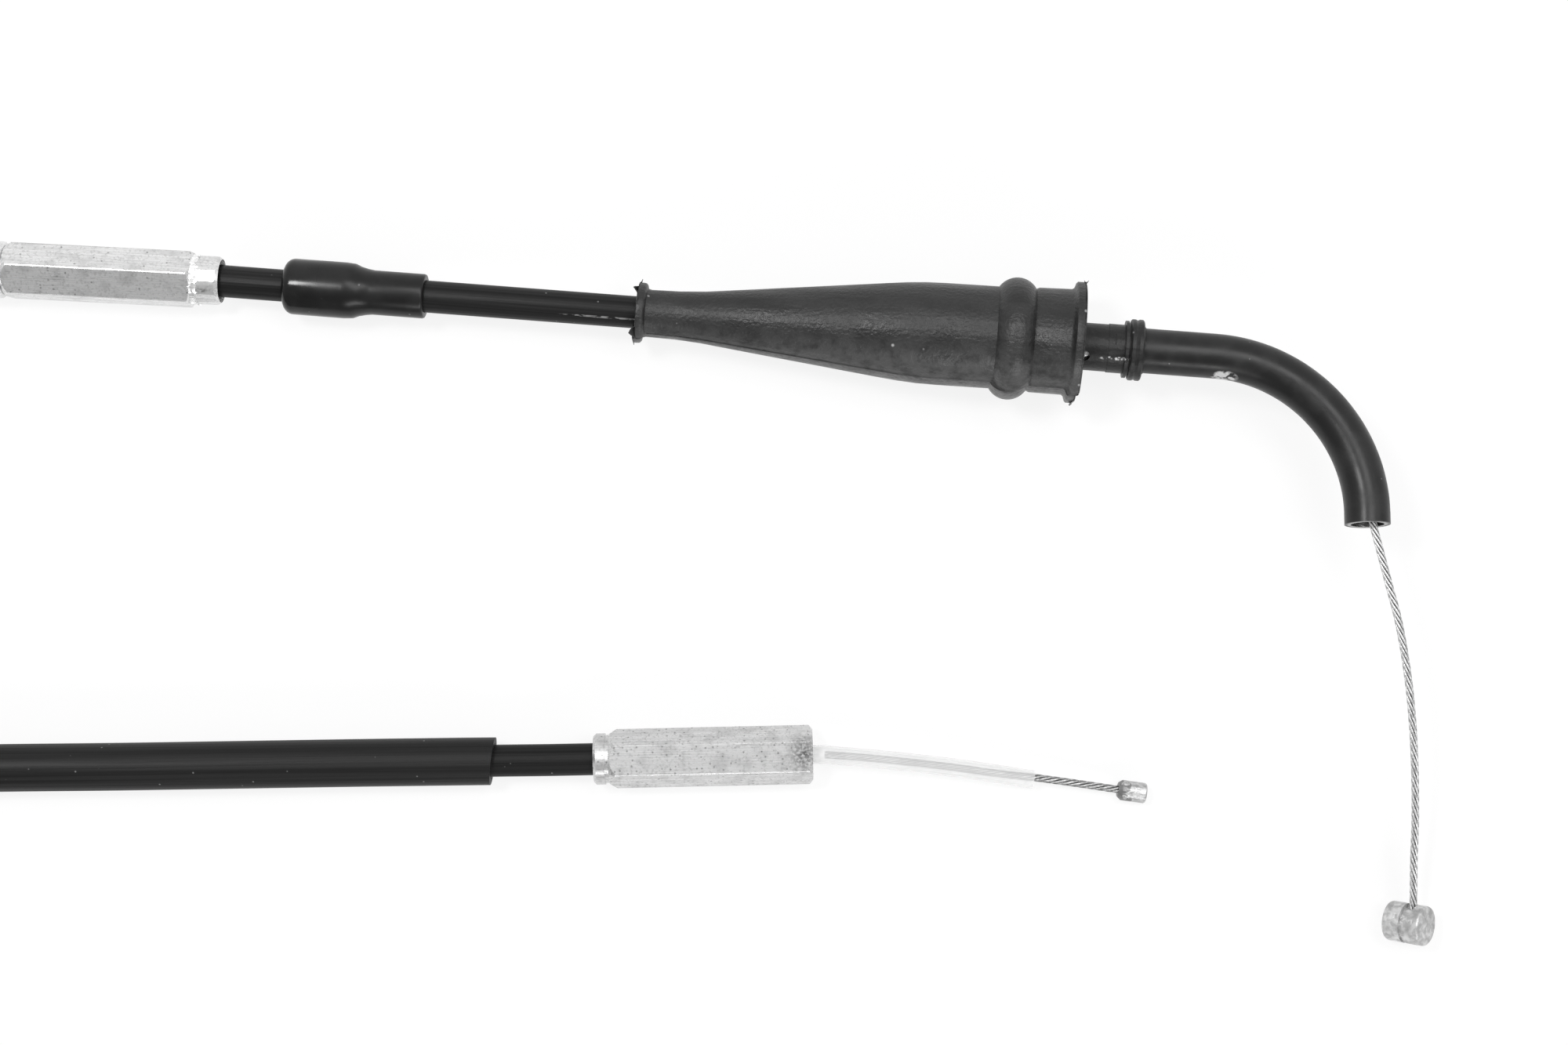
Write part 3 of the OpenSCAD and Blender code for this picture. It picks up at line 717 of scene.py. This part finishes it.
ties = [coil_tie(f"nylon_tie_{letter}", angle) for letter, angle in zip("ab", TIE_ANGLES)]
tie_nylon = Finish("tie_nylon", Roughness=0.45)
tie_grain = tie_nylon.cloud(900, 0.4, 0.6)
tie_nylon.colour(tie_nylon.mix(tie_grain, grey(24), grey(36)))
tie_nylon.bump(tie_grain, 0.01)
tie_nylon.on(*ties)
for tie, node in zip(ties, ("coil_tie_a", "coil_tie_b")):
    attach(tie, "lower_run")
    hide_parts(node)


# ---- Upper conduit ----
# The same jacketed conduit between the adjuster and the moulded guide. A pale broken line is
# painted on its jacket at the boot's neck, as a highlight from the front lamp.
RUN_LINE = Line((-62, 47.7, 4.6), -4.5, 2.29)
FRONT_LAMP_HIGHLIGHT = {"Centre": mm(60.2, -1.28, 2.14), "Reach": mm(7.5, 0.17, 0.7)}
upper_jacket = jacket("upper_jacket", RUN_LINE, 20, 32, 0.36, 0.16, FRONT_LAMP_HIGHLIGHT)
upper_jacket.on(nodes["conduit_upper"])


# ---- Dust cap ----
# A glossy black rubber cap that slides down the conduit to cover the adjuster's mouth. Its wide
# end is rolled in, and its neck grips the conduit.
CAP_X = 10.0
CAP_L = 22.0
CAP_R = 4.35
CAP_LIP_R = 1.5
NECK_R = 3.45
CAP_BORE_R = 3.95
CONDUIT_GRIP_R = CONDUIT_D / 2 + 0.04
cap_end = CAP_X + CAP_L
shoulder = cap_end - 11.5


def arc(x, radius, size, start, end, steps):
    """Points of an arc in the outline plane, from one angle to another in degrees."""
    return [(x + size * math.cos(math.radians(a)), radius + size * math.sin(math.radians(a)))
            for a in (start + (end - start) * step / steps for step in range(steps + 1))]


cap_outline = (
    arc(CAP_X + CAP_LIP_R, CAP_R - CAP_LIP_R, CAP_LIP_R, 185, 90, 8)
    + [(CAP_X + 3, CAP_R), (shoulder - 1, CAP_R), (shoulder + 0.4, CAP_R - 0.12),
       (shoulder + 1.3, CAP_R - 0.5), (shoulder + 2.4, NECK_R + 0.14), (shoulder + 3.4, NECK_R),
       (cap_end - 0.35, NECK_R), (cap_end - 0.08, NECK_R - 0.1), (cap_end, NECK_R - 0.3),
       (cap_end, CONDUIT_GRIP_R), (shoulder + 2.4, CONDUIT_GRIP_R), (shoulder, CAP_BORE_R),
       (CAP_X + 1.8, CAP_BORE_R), (CAP_X + 0.9, CAP_R - CAP_LIP_R + 0.35)])
cap_mesh = bmesh.new()
spin_outline(cap_mesh, cap_outline, steps=96, closed=True)
cap = finish_piece("dust_cap_rubber", cap_mesh, RUN_LINE, sharp=50)
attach(cap, "cap")
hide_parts("dust_cap")
cap_rubber = Finish("cap_rubber", RUN_LINE, Specular_IOR_Level=0.3)
cap_smears = cap_rubber.cloud(260, 0.42, 0.66)
cap_dust = cap_rubber.mask(SPECKS, Scale=900, Size=0.2, Share=0.04)
cap_skin = cap_rubber.mix(cap_smears, grey(16), grey(27))
cap_rubber.colour(cap_rubber.mix(cap_dust, cap_skin, grey(120), 0.5))
cap_handled = cap_rubber.span(cap_rubber.along((1, 0, 0)), (CAP_X + 2.5) * MM, (CAP_X + 6.5) * MM)
cap_matt = cap_rubber.math("MAXIMUM", cap_rubber.math("MULTIPLY", cap_smears, 0.4), cap_handled)
cap_rubber.roughness(cap_matt, 0.15, 0.3)
cap_rubber.bump(cap_smears, 0.004)
cap_rubber.on(cap)


# ---- Boot ----
# A matte moulded rubber boot that slides over the guide. Its neck grips the conduit, a bead runs
# round its body, and thin flash is left on both flanges and along the mould's parting line.
GUIDE_X = 122.0
BOOT_END = GUIDE_X + 11.7
BOOT_L = 69.1
BOOT_X = BOOT_END - BOOT_L
BOOT_R = 15.7 / 2
BEAD_R = 18.8 / 2
FLANGE_R = 18.6 / 2
BOOT_NECK_R = CONDUIT_D / 2 + 1.15
BEAD_X = BOOT_END - 10.4
BEAD_HALF = 2.85
knee_x = BOOT_X + 10.9
full_x = BOOT_END - 24.4


def bead(x, base, top, half, steps):
    """The arc of a bead from foot to foot."""
    rise = top - base
    size = (half * half + rise * rise) / (2 * rise)
    reach = math.degrees(math.asin(half / size))
    return arc(x, top - size, size, 90 + reach, 90 - reach, steps)


boot_outline = (
    [(BOOT_X + 0.45, CONDUIT_GRIP_R), (BOOT_X + 0.55, BOOT_NECK_R + 0.8),
     (BOOT_X + 0.7, BOOT_NECK_R + 0.98), (BOOT_X + 1.1, BOOT_NECK_R + 1.02),
     (BOOT_X + 1.6, BOOT_NECK_R + 0.97), (BOOT_X + 1.82, BOOT_NECK_R + 0.75),
     (BOOT_X + 1.98, BOOT_NECK_R + 0.15), (BOOT_X + 2.5, BOOT_NECK_R),
     (knee_x - 4, BOOT_NECK_R + 0.08), (knee_x, BOOT_NECK_R + 0.35),
     (knee_x + 4, BOOT_NECK_R + 0.82), (knee_x + 8, BOOT_NECK_R + 1.29),
     (full_x - 6, BOOT_R - 0.6), (full_x - 3, BOOT_R - 0.27), (full_x, BOOT_R - 0.06),
     (full_x + 3, BOOT_R), (BEAD_X - BEAD_HALF - 0.6, BOOT_R)]
    + bead(BEAD_X, BOOT_R, BEAD_R, BEAD_HALF, 14)
    + [(BEAD_X + BEAD_HALF + 0.5, BOOT_R + 0.2), (BOOT_END - 2.1, BOOT_R + 0.28),
       (BOOT_END - 1.75, BOOT_R + 0.5), (BOOT_END - 1.5, FLANGE_R - 0.2),
       (BOOT_END - 1.3, FLANGE_R), (BOOT_END - 0.3, FLANGE_R), (BOOT_END, FLANGE_R - 0.25),
       (BOOT_END, BOOT_R - 1.2), (BOOT_END - 1, BOOT_R - 1.5), (BOOT_END - 8, BOOT_R - 1.5),
       (BEAD_X, BOOT_R - 1.1), (BOOT_END - 13, BOOT_R - 1.5), (full_x, BOOT_R - 1.55),
       (knee_x + 1, CONDUIT_GRIP_R)])
BOOT_STEPS = 256
PARTING_ANGLE = math.radians(90 + 45 * 360 / BOOT_STEPS)
PARTING_NORMAL = Vector((0, -math.sin(PARTING_ANGLE), math.cos(PARTING_ANGLE)))
MOULD_SLIP = 0.45
LOWER_SWELL = 0.004
FIN = 0.07
FIN_WAVE = 0.09
BOOT_BOW = 0.5


def slip_mould(bm):
    """Sets the lower mould half back along X and swells it, with a rough fin between the halves.

    The soft boot also bows a little to one side over its length.
    """
    for vert in bm.verts:
        below = vert.co.dot(PARTING_NORMAL)
        wave = noise.noise(vert.co * 700) + 0.5 * noise.noise(vert.co * 2500)
        if abs(below) < 0.02 * MM:
            vert.co += off_axis(vert).normalized() * (FIN + FIN_WAVE * wave) * MM
            vert.co.x -= MOULD_SLIP / 2 * MM
        elif below > 0:
            vert.co.x -= MOULD_SLIP * MM
            vert.co += off_axis(vert) * LOWER_SWELL
        vert.co.y += BOOT_BOW * MM * ((vert.co.x / MM - BOOT_X) / BOOT_L) ** 2


boot_mesh = bmesh.new()
spin_outline(boot_mesh, boot_outline, steps=BOOT_STEPS, closed=True)
slip_mould(boot_mesh)
boot_skin = finish_piece("boot_rubber", boot_mesh, RUN_LINE, sharp=40)
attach(boot_skin, "rubber_boot")
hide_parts("boot")

FLASH_FOOT = 0.08
FLASH_TIP = 0.03
NECK_FLAPS = [(6, 5, 0.5, 0.3), (41, 8, 0.15, -0.7), (136, 13, 0.15, -1.0), (181, 5, 0.35, 0.1)]
MOUTH_FLAPS = [(2, 7, 0.25, 0.5), (12, 4, 0.3, -0.3), (176, 12, 0.35, -0.7), (186, 6, 0.4, -0.2)]


def flash_ring(name, x, inner, outer, ragged, flaps, seed):
    """Thin torn flash round a flange, ragged at its rim, with a few longer flaps.

    A flap is given by its angle and half-width in degrees, and how far it stands out and leans.
    """
    bm = bmesh.new()
    spin_outline(bm, [(x - FLASH_FOOT, inner), (x - FLASH_TIP, outer), (x + FLASH_TIP, outer),
                      (x + FLASH_FOOT, inner)], steps=BOOT_STEPS * 2, closed=True)
    for vert in bm.verts:
        flat = off_axis(vert)
        if flat.length < (inner + outer) / 2 * MM:
            continue
        turn = flat.normalized()
        angle = math.degrees(math.atan2(turn.z, turn.y))
        wave = noise.noise((turn + Vector((seed, 0, 0))) * 7)
        fine = noise.noise((turn + Vector((seed, 0, 0))) * 31)
        height = ragged * (max(0.0, wave) + 0.35 * abs(fine))
        lean = ragged * 0.5 * wave
        for place, half, flap_height, flap_lean in flaps:
            near = 1 - abs((angle - place + 180) % 360 - 180) / half
            if near > 0:
                height += flap_height * near * (1 + 0.5 * fine)
                lean += flap_lean * near ** 0.6
        vert.co += turn * height * MM + Vector((lean * MM, 0, 0))
    slip_mould(bm)
    return finish_piece(name, bm, RUN_LINE, sharp=30)


neck_flash = flash_ring("neck_flash", BOOT_X + 0.65, BOOT_NECK_R, BOOT_NECK_R + 0.98,
                        ragged=0.35, flaps=NECK_FLAPS, seed=3)
mouth_flash = flash_ring("mouth_flash", BOOT_END - 0.15, FLANGE_R - 0.5, FLANGE_R - 0.02,
                         ragged=0.2, flaps=MOUTH_FLAPS, seed=8)
for flash in (neck_flash, mouth_flash):
    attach(flash, "rubber_boot")

boot_rubber = Finish("boot_rubber_skin", RUN_LINE, Specular_IOR_Level=0.42)
bloom = boot_rubber.cloud(170, 0.4, 0.66, 8)
grain = boot_rubber.cloud(1900, 0.38, 0.66, 2)
drawn = boot_rubber.mask(STREAKS, Along=60, Across=700, Low=0.42, High=0.66)
boot_dust = boot_rubber.mask(SPECKS, Scale=420, Size=0.13, Share=0.09)
rubber_base = boot_rubber.mix(bloom, grey(22), grey(38))
rubber_base = boot_rubber.mix(drawn, rubber_base, grey(58), 0.3)
rubber_base = boot_rubber.mix(grain, rubber_base, grey(18), 0.4)
# Painted sheen: the boot's front (-Y) side is lightened, partly as dust and partly as light from
# the front lamp and floor.
painted_sheen_side = boot_rubber.span(boot_rubber.along((0, -1, 0)), 0.8 * MM, 4.6 * MM)
dust_and_painted_sheen = boot_rubber.math("MULTIPLY", painted_sheen_side, boot_rubber.cloud(520, 0.3, 0.55, 8))
rubber_base = boot_rubber.mix(dust_and_painted_sheen, rubber_base, grey(76), 0.7)
# The lower mould half is lightened: partly chafing, partly a painted reflection of the white floor.
below = boot_rubber.along(PARTING_NORMAL)
lower_half = boot_rubber.span(below, 0.05 * MM, 0.3 * MM)
chafe_and_painted_reflection = boot_rubber.math("MULTIPLY", lower_half, boot_rubber.cloud(1500, 0.36, 0.6))
rubber_base = boot_rubber.mix(chafe_and_painted_reflection, rubber_base, grey(96), 0.6)
# Painted shade: a dark line along the parting line, where the mould halves meet in a step.
seam_step_shade = boot_rubber.span(boot_rubber.math("ABSOLUTE", below), 0.22 * MM, 0.08 * MM)
rubber_base = boot_rubber.mix(seam_step_shade, rubber_base, grey(14), 0.7)
boot_rubber.colour(boot_rubber.mix(boot_dust, rubber_base, grey(170), 0.8))
boot_rubber.roughness(bloom, 0.36, 0.49)
boot_rubber.bump(boot_rubber.math("ADD", grain, drawn), 0.032)
boot_rubber.on(boot_skin, neck_flash, mouth_flash)


# ---- Guide ----
# A hard black moulding that takes the conduit's ferrule and the bent pipe. Its seat ring has a
# shallow V groove, and a thin disc stands before it.
SEAM_GLINTS = {"Centre": mm(139.2, -1.78, 3.22), "Reach": mm(3.4, 0.34, 1.2)}
guide_plastic = Finish("guide_plastic", RUN_LINE, Specular_IOR_Level=0.26)
guide_grain = guide_plastic.cloud(1400, 0.4, 0.64)
guide_smears = guide_plastic.mask(STREAKS, Along=300, Across=900, Low=0.45, High=0.7)
guide_dust = guide_plastic.mask(SPECKS, Scale=900, Size=0.18, Share=0.06)
guide_skin = guide_plastic.mix(guide_smears, grey(30), grey(44))
# Painted glints: pale dots on the burrs along the parting seam, standing in for the light they
# catch.
guide_glint_dots = guide_plastic.mask(SPECKS, Scale=2100, Size=0.58, Share=1.0)
guide_seam_glints = guide_plastic.math("MULTIPLY", guide_glint_dots, guide_plastic.span(
    guide_plastic.mask(SPOT, **SEAM_GLINTS), 0, 0.4))
guide_skin = guide_plastic.mix(guide_seam_glints, guide_skin, grey(200))
guide_plastic.colour(guide_plastic.mix(guide_dust, guide_skin, grey(150), 0.6))
guide_plastic.roughness(guide_smears, 0.34, 0.5)
guide_plastic.bump(guide_grain, 0.02)
guide_plastic.on(nodes["guide_body"])
guide_plating = plated("guide_plating", RUN_LINE, bright=176, dull=120, spots=0.3)
guide_plating.on(nodes["guide_ferrule"])


# ---- Bent pipe ----
# A plated steel pipe bent nearly square, in a thin glossy black cover that ends level with it. A
# pale streak is painted on the cover where the bend starts.
pipe_steel = plated("pipe_steel", RUN_LINE, bright=168, dull=104, spots=0.4)
pipe_steel.on(nodes["elbow_pipe"])
COVER_PALE_STREAK = {"Centre": mm(155.7, -3.0, 1.4), "Reach": mm(2.3, 1.1, 1.7)}
cover_gloss = Finish("cover_gloss", RUN_LINE, Specular_IOR_Level=0.33)
cover_smears = cover_gloss.cloud(330, 0.44, 0.7)
cover_dust = cover_gloss.mask(SPECKS, Scale=1000, Size=0.18, Share=0.05)
cover_skin = cover_gloss.mix(cover_smears, grey(20), grey(30))
cover_pale_streak = cover_gloss.math("MULTIPLY", cover_gloss.mask(SPOT, **COVER_PALE_STREAK), 4.0)
cover_pale_streak = cover_gloss.math("MULTIPLY", cover_pale_streak, cover_gloss.cloud(1200, 0.4, 0.6))
cover_skin = cover_gloss.mix(cover_gloss.math("MINIMUM", cover_pale_streak, 1.0), cover_skin, grey(196))
cover_gloss.colour(cover_gloss.mix(cover_dust, cover_skin, grey(150), 0.5))
cover_gloss.roughness(cover_smears, 0.32, 0.44)
cover_gloss.bump(cover_smears, 0.02)
cover_gloss.on(nodes["elbow_cover"])


# ---- Throttle wire and barrel ----
# Stranded steel wire, cast at its end into a zinc barrel that drops into the twist grip's drum. Its
# six strands are twisted together.
WIRE_D = 1.2
WIRE_STRANDS = 6
STRAND_SIDES = 6
STRAND_LAY = 8.4
STRAND_GROOVE = 0.3
STRAND_SPAN = (0.76, 0.97)
WIRE_STEP = 0.3
WIRE_EXIT = Vector((115.126, 9.498, 14.382)) * MM
THROTTLE_ROUTE = [WIRE_EXIT + mm(*point) for point in [
    (-3.58, 13.54, 0), (-1.79, 6.77, 0), (0, 0, 0), (2.2, -8.2, -0.2), (4.1, -15.2, -0.7),
    (5.9, -24.9, -1.9), (7, -34.6, -3.5), (7.7, -44.4, -5.7), (7.9, -51.9, -7.5),
    (8.1, -57, -8.6), (8.2, -61, -9.3)]]


def stranded_wire(name, route):
    """Wire of twisted strands: a scalloped section that turns as it runs along the route."""
    line = smooth_line(route, WIRE_STEP * MM)
    bm = bmesh.new()
    verts = add_circle(bm, WIRE_D / 2, WIRE_STRANDS * STRAND_SIDES)
    first = list(bm.edges)
    for vert in verts:
        turn = math.atan2(vert.co.z, vert.co.y) * WIRE_STRANDS / 2
        vert.co *= 1 - STRAND_GROOVE * (1 - abs(math.cos(turn))) ** 1.5
    last = run_along(bm, line, STRAND_LAY)
    for ring in (first, last):
        bmesh.ops.contextual_create(bm, geom=ring)
    return finish_piece(name, bm, sharp=60), line


def wire_metal(name, bright, dull, groove_shade_grey):
    """Bare steel wire: bright on the strands' backs, with painted shade in the grooves between
    them.
    """
    finish = Finish(name, "straight", Metallic=0.85)
    groove_end, back_start = (WIRE_D / 2 * share * MM for share in STRAND_SPAN)
    back = finish.span(finish.out(), groove_end, back_start)
    fine = finish.cloud(2600, 0.4, 0.62)
    strand = finish.mix(fine, grey(dull), grey(bright))
    finish.colour(finish.mix(back, grey(groove_shade_grey), strand))
    finish.roughness(fine, 0.3, 0.45)
    finish.bump(fine, 0.01)
    return finish


drum_wire, drum_line = stranded_wire("drum_wire", THROTTLE_ROUTE)
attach(drum_wire, "drum_end")
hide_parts("throttle_wire")
wire_metal("drum_wire_steel", 240, 198, 64).on(drum_wire)

barrel_zinc = Finish("barrel_zinc", Metallic=0.55)
pitted = barrel_zinc.cloud(1100, 0.4, 0.6, 5)
stained = barrel_zinc.cloud(420, 0.45, 0.6)
zinc_skin = barrel_zinc.mix(pitted, grey(176), grey(214))
barrel_zinc.colour(barrel_zinc.mix(stained, zinc_skin, grey(140), 0.5))
barrel_zinc.roughness(pitted, 0.5, 0.34)
barrel_zinc.bump(pitted, 0.05)
barrel_zinc.on(nodes["barrel_end"])


# ---- End sleeve ----
# A hexagon sleeve tapped M6 for the carburettor's top, crimped on its own ferrule at the collar.
# Its plating is dull and specked, and worn where the liner leaves it.
WORN_END = {"Centre": mm(32.7, 0.4, 4), "Reach": mm(3.2, 4.4, 2.6)}
COLLAR_NICK = {"Centre": mm(3.1, -1.97, 3.3), "Reach": mm(0.55, 0.45, 1.2)}


def end_marks(finish):
    """The worn patch by the liner and the nick in the collar."""
    return finish.math("MAXIMUM", finish.mask(SPOT, **WORN_END), finish.mask(SPOT, **COLLAR_NICK))


# Its worn ridges carry a painted near-white highlight, full on the near side and faint on the far
# side.
end_plating = plated("end_plating", END_LINE, bright=220, dull=198, spots=0.35, ridge_polish_and_highlight=1.0,
                     far_ridge_polish_and_highlight=0.12, stain=end_marks)
end_plating.on(nodes["end_sleeve"], nodes["end_ferrule"])


# ---- Liner ----
# A translucent nylon tube that leaves the end sleeve and stops short of the wire's end. Its wall is
# thin, so the wire shows through it.
LINER_D = 2.9
LINER_WALL = 0.31
LINER_ROUTE = [END_LINE.at(*point) for point in [
    (10.2, 0.1, 0), (14, 0.2, 0), (20, 0.45, 0), (27, 0.4, -0.1), (34, 0, -0.3),
    (40, -0.55, -0.5), (46, -1.25, -0.7), (52, -2.05, -0.9), (58, -2.95, -1.15),
    (64, -4, -1.4), (68.5, -4.85, -1.6)]]
liner_line = smooth_line(LINER_ROUTE, 1.5 * MM)
liner_tube = cable("liner_tube", liner_line, LINER_D / 2, sides=36,
                   bore=LINER_D / 2 - LINER_WALL)
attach(liner_tube, "lower_run")
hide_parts("liner")
liner_nylon = Finish("liner_nylon", "straight", IOR=1.4, Alpha=0.3)
cloudy = liner_nylon.cloud(300, 0.35, 0.7)
liner_nylon.colour(liner_nylon.mix(cloudy, grey(252), grey(246)))
liner_nylon.roughness(cloudy, 0.3, 0.42)
liner_nylon.on(liner_tube)


# ---- Slide wire and its crimped end ----
# The same stranded wire inside the liner, with a small steel end crimped on for the carburettor's
# slide. It draws into the liner as the throttle opens, so it bends between the two.
SLIDE_WIRE_ROUTE = [END_LINE.at(*point) for point in [
    (36, -0.15, -0.35), (40, -0.5, -0.5), (46, -1.2, -0.68), (52, -2, -0.88), (57, -2.75, -1.1),
    (63, -3.75, -1.35), (68.5, -4.5, -1.6), (75, -5.55, -1.85), (81.6, -6.7, -2.15),
    (84, -7.1, -2.25)]]
slide_wire, slide_line = stranded_wire("slide_wire", SLIDE_WIRE_ROUTE)
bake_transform(slide_wire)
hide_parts("carb_wire")
wire_metal("slide_wire_steel", 190, 140, 70).on(slide_wire)
# The crimped end is painted darker up to a ragged line across it, and lighter past that line.
TONE_STEP_X = 84.1
crimp_steel = Finish("crimp_steel", END_LINE, Metallic=0.8)
crimp_grain = crimp_steel.cloud(1700, 0.36, 0.62, 5)
ragged = crimp_steel.math("MULTIPLY", crimp_steel.cloud(900, 0.3, 0.7, 6), 2.4 * MM)
tone_step = crimp_steel.math("ADD", crimp_steel.along((1, 0, 0)), ragged)
past_tone_step = crimp_steel.span(tone_step, TONE_STEP_X * MM, (TONE_STEP_X + 0.25) * MM)
crimp_skin = crimp_steel.mix(past_tone_step, grey(132), grey(205))
crimp_steel.colour(crimp_steel.mix(crimp_grain, crimp_skin, grey(120), 0.5))
crimp_steel.roughness(crimp_grain, 0.5, 0.3)
crimp_steel.bump(crimp_steel.math("ADD", crimp_grain, past_tone_step), 0.04)
crimp_steel.on(nodes["carb_end"])
